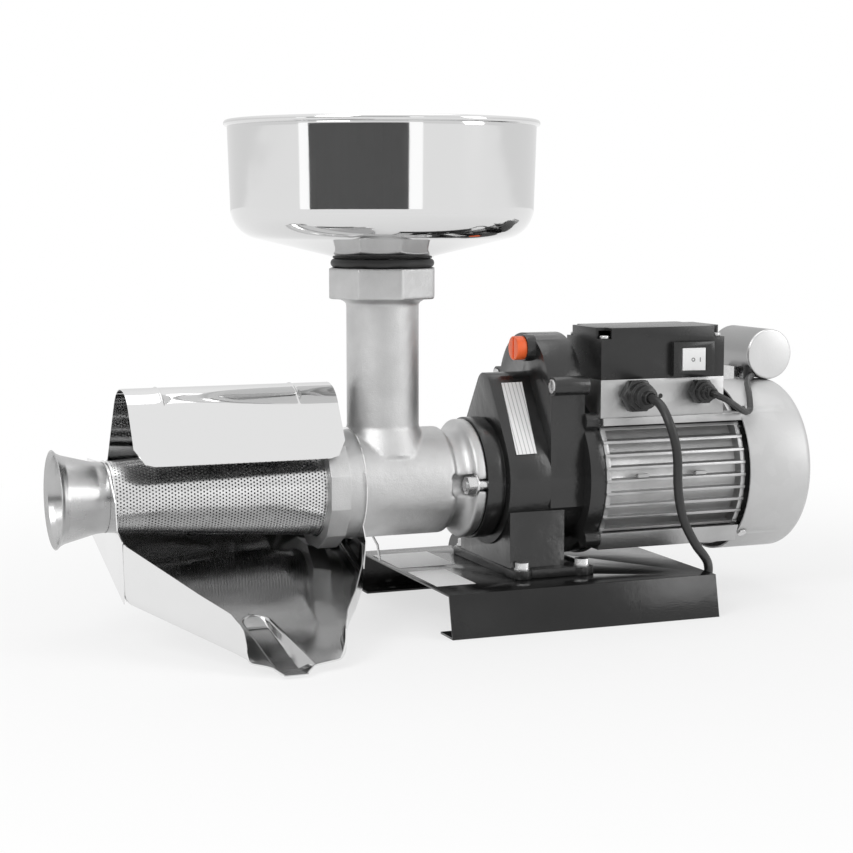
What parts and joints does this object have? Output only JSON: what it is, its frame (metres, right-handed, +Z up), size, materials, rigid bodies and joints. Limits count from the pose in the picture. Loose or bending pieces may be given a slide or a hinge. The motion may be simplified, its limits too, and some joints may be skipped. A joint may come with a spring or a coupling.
{
  "type": "electric tomato strainer",
  "caption": "Bench tomato strainer: motor and gearbox on a folded base turn an auger in a perforated cone, with a round hopper, drip tray, splash guard and waste outlet.",
  "frame": {"origin": "centre of the base's four bench holes, on the floor", "axes": "+X along the auger shaft towards the motor, +Y to the rear, +Z up"},
  "size_m": [0.6109, 0.3851, 0.3796],
  "materials": {
    "black_sheet": "semi-gloss black powder coat",
    "black_cast": "satin black paint on cast metal",
    "cast_aluminium": "satin tumbled casting",
    "silver_sheet": "satin silver paint",
    "polished_steel": "mirror polished stainless sheet",
    "steel": "machined or zinc plated steel",
    "iron": "machined iron",
    "bronze": "machined bronze",
    "copper": "varnished copper windings",
    "black_rubber": "matt black rubber",
    "black_plastic": "satin black plastic",
    "white_plastic": "gloss white plastic",
    "orange_plastic": "gloss orange plastic",
    "white_film": "matt white film"
  },
  "bodies": {
    "machine": {"base_plate": "black_sheet", "foot_casting": "black_cast", "foot_bolts": "steel", "front_cover": "black_cast", "gear_case": "black_cast", "middle_plate": "cast_aluminium", "cross_bushes": "bronze", "output_bearings": "steel", "shaft_seal": "black_rubber", "oil_plug": "orange_plastic", "case_screws": "steel", "flange_studs": "steel", "flange_nuts": "steel", "end_bell": "black_cast", "motor_housing": "cast_aluminium", "stator": "iron", "windings": "copper", "motor_bearings": "steel", "rear_shield": "black_cast", "fan_cowl": "silver_sheet", "cowl_screws": "steel", "terminal_box": "cast_aluminium", "terminal_lid": "black_plastic", "lid_screws": "steel", "switch_bezel": "black_plastic", "mains_gland": "black_plastic", "capacitor_gland": "black_plastic", "capacitor": "cast_aluminium", "capacitor_clip": "steel", "capacitor_boot": "black_rubber", "capacitor_lead": "black_rubber", "strainer_body": "cast_aluminium", "filter_cone": "polished_steel", "ring_nut": "cast_aluminium", "waste_outlet": "polished_steel", "drip_tray": "polished_steel", "tray_ends": "polished_steel", "hinge_wire": "steel", "seal_ring": "black_rubber", "base_sheets": "white_film", "mains_cord": "black_rubber", "cord_coil": "black_rubber", "cord_tail": "black_rubber", "mains_plug": "black_plastic"},
    "drive": {"auger": "cast_aluminium", "output_shaft": "steel", "output_gear": "iron"},
    "cross": {"cross_shaft": "steel", "cross_wheel": "iron", "cross_pinion": "steel"},
    "motor_rotor": {"rotor": "steel", "motor_shaft": "steel", "cooling_fan": "black_plastic"},
    "switch_button": {"switch_rocker": "white_plastic"},
    "hopper_set": {"hopper": "polished_steel", "hopper_spigot": "polished_steel"},
    "guard": {"splash_guard": "polished_steel"}
  },
  "joints": [
    {"name": "rotor_spin", "type": "hinge", "parent": "machine", "child": "motor_rotor", "pos_m": [0.1, 0, 0.104], "axis": [1, 0, 0], "continuous": true},
    {"name": "cross_spin", "type": "hinge", "parent": "machine", "child": "cross", "pos_m": [0, 0, 0.159], "axis": [1, 0, 0], "continuous": true},
    {"name": "auger_spin", "type": "hinge", "parent": "machine", "child": "drive", "pos_m": [-0.1, 0, 0.104], "axis": [1, 0, 0], "continuous": true},
    {"name": "rocker_switch", "type": "hinge", "parent": "machine", "child": "switch_button", "pos_m": [0.1095, -0.0585, 0.1966], "axis": [0, 0, 1], "range_deg": [0, 16]},
    {"name": "hopper_lift", "type": "slide", "parent": "machine", "child": "hopper_set", "axis": [0, 0, 1], "range_m": [0, 0.06]},
    {"name": "guard_hinge", "type": "hinge", "parent": "machine", "child": "guard", "pos_m": [-0.25, 0.0526, 0.123], "axis": [-1, 0, 0], "range_deg": [0, 105]}
  ],
  "couplings": [
    {"joint": "cross_spin", "follows": "rotor_spin", "ratio": -0.25714},
    {"joint": "auger_spin", "follows": "rotor_spin", "ratio": 0.071761}
  ]
}
